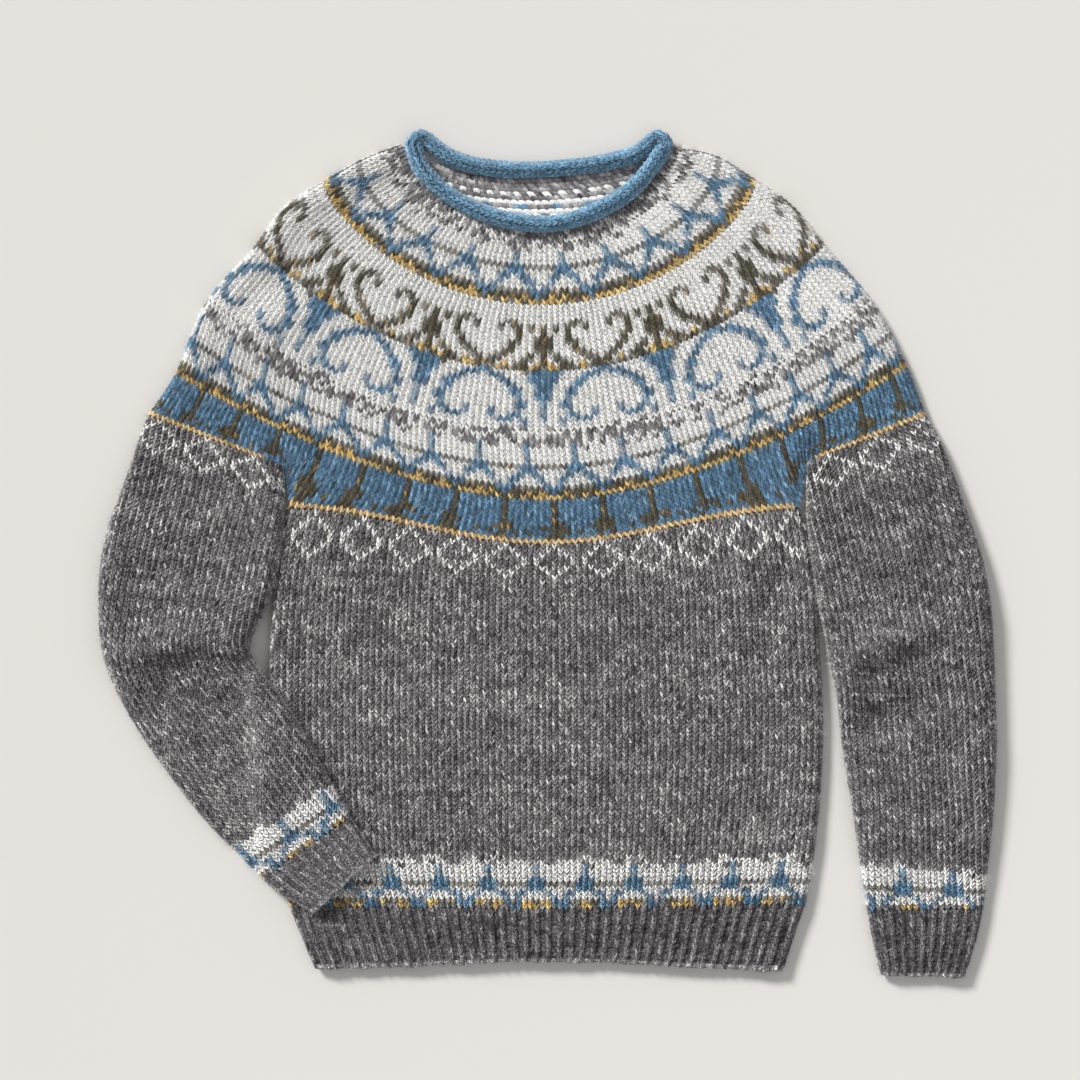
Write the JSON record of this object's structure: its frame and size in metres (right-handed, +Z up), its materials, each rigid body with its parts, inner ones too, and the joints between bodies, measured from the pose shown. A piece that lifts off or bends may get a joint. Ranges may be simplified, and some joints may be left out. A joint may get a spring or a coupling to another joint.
{
  "type": "nordic yoke sweater",
  "caption": "Knitted pullover laid flat, round patterned yoke, rolled neckband, ribbed hem and cuffs, one forearm folded over the body",
  "frame": {"origin": "under the middle of the garment as it lies, on the surface it rests on", "axes": "+Z up, away from the surface; +Y towards the neck; +X to the wearer's left, the side of the straight sleeve"},
  "size_m": [0.768, 0.7248, 0.0241],
  "materials": {
    "heather_wool": "grey heather wool stockinette, soft halo",
    "rib_wool": "grey heather wool, 1x1 rib",
    "yoke_wool": "stranded wool colourwork in cream, blue, dark olive and gold",
    "neck_wool": "blue wool, rolled stockinette edge"
  },
  "bodies": {
    "root": {"body": "heather_wool", "hem_rib": "rib_wool", "yoke": "yoke_wool", "neck_roll": "neck_wool", "sleeve_folded": "heather_wool", "cuff_folded": "rib_wool", "sleeve_straight": "heather_wool", "cuff_straight": "rib_wool"}
  },
  "joints": []
}
